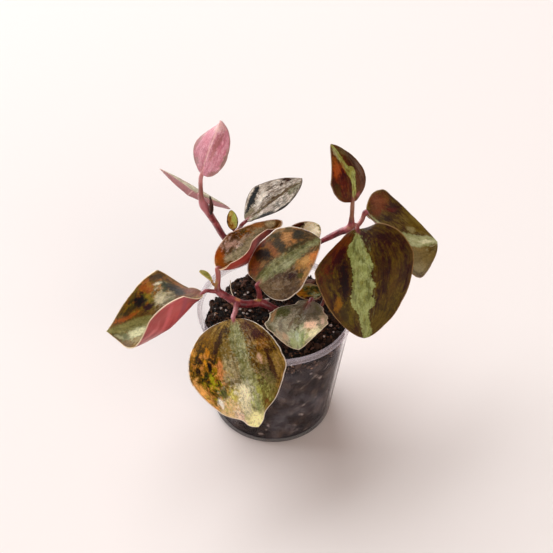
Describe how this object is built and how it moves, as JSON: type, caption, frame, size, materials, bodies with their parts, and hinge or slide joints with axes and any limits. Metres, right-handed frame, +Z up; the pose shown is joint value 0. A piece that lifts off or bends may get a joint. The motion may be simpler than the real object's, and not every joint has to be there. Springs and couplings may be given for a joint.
{
  "type": "potted houseplant",
  "caption": "Small clear tapered nursery pot filled with dark soil, from which branching red stems carry broad fleshy blotched leaves, some folded and one hanging over the rim.",
  "frame": {"origin": "centre of the pot's flat underside", "axes": "+Z up along the pot's axis, -Y to the front where the low leaf hangs over the rim, +X to the right seen from the front"},
  "size_m": [0.1388, 0.1018, 0.1267],
  "materials": {
    "clear_plastic": "clear, slightly hazy moulded plastic",
    "potting_soil": "dark moist crumbly mix with white grains",
    "red_stem": "smooth fleshy maroon",
    "dark_bud": "smooth, nearly black",
    "green_gold_leaf": "satin, mottled green, gold and olive",
    "olive_leaf": "satin olive brown with a pale green middle",
    "orange_leaf": "satin, orange and dark green blotches",
    "red_orange_leaf": "satin, orange brown above and red below",
    "silver_leaf": "silvery sheen with dark streaks",
    "maroon_leaf": "satin maroon with a pale green midrib",
    "pink_leaf": "satin pink with faint veins",
    "cream_silver_leaf": "satin grey green and cream",
    "young_leaf": "satin yellow green"
  },
  "bodies": {
    "root": {"pot": "clear_plastic", "soil": "potting_soil", "stem_left": "red_stem", "stem_back": "red_stem", "stem_right": "red_stem", "stem_low": "red_stem", "bud": "dark_bud", "leaf_front": "green_gold_leaf", "leaf_right": "olive_leaf", "leaf_centre": "orange_leaf", "leaf_folded": "red_orange_leaf", "leaf_left": "orange_leaf", "leaf_back": "olive_leaf", "leaf_silver": "silver_leaf", "leaf_upper": "maroon_leaf", "leaf_pink": "pink_leaf", "leaf_low": "cream_silver_leaf", "leaf_red": "pink_leaf", "leaf_young": "young_leaf", "leaf_behind": "cream_silver_leaf", "leaf_inner": "orange_leaf", "leaf_sprout": "young_leaf"}
  },
  "joints": []
}
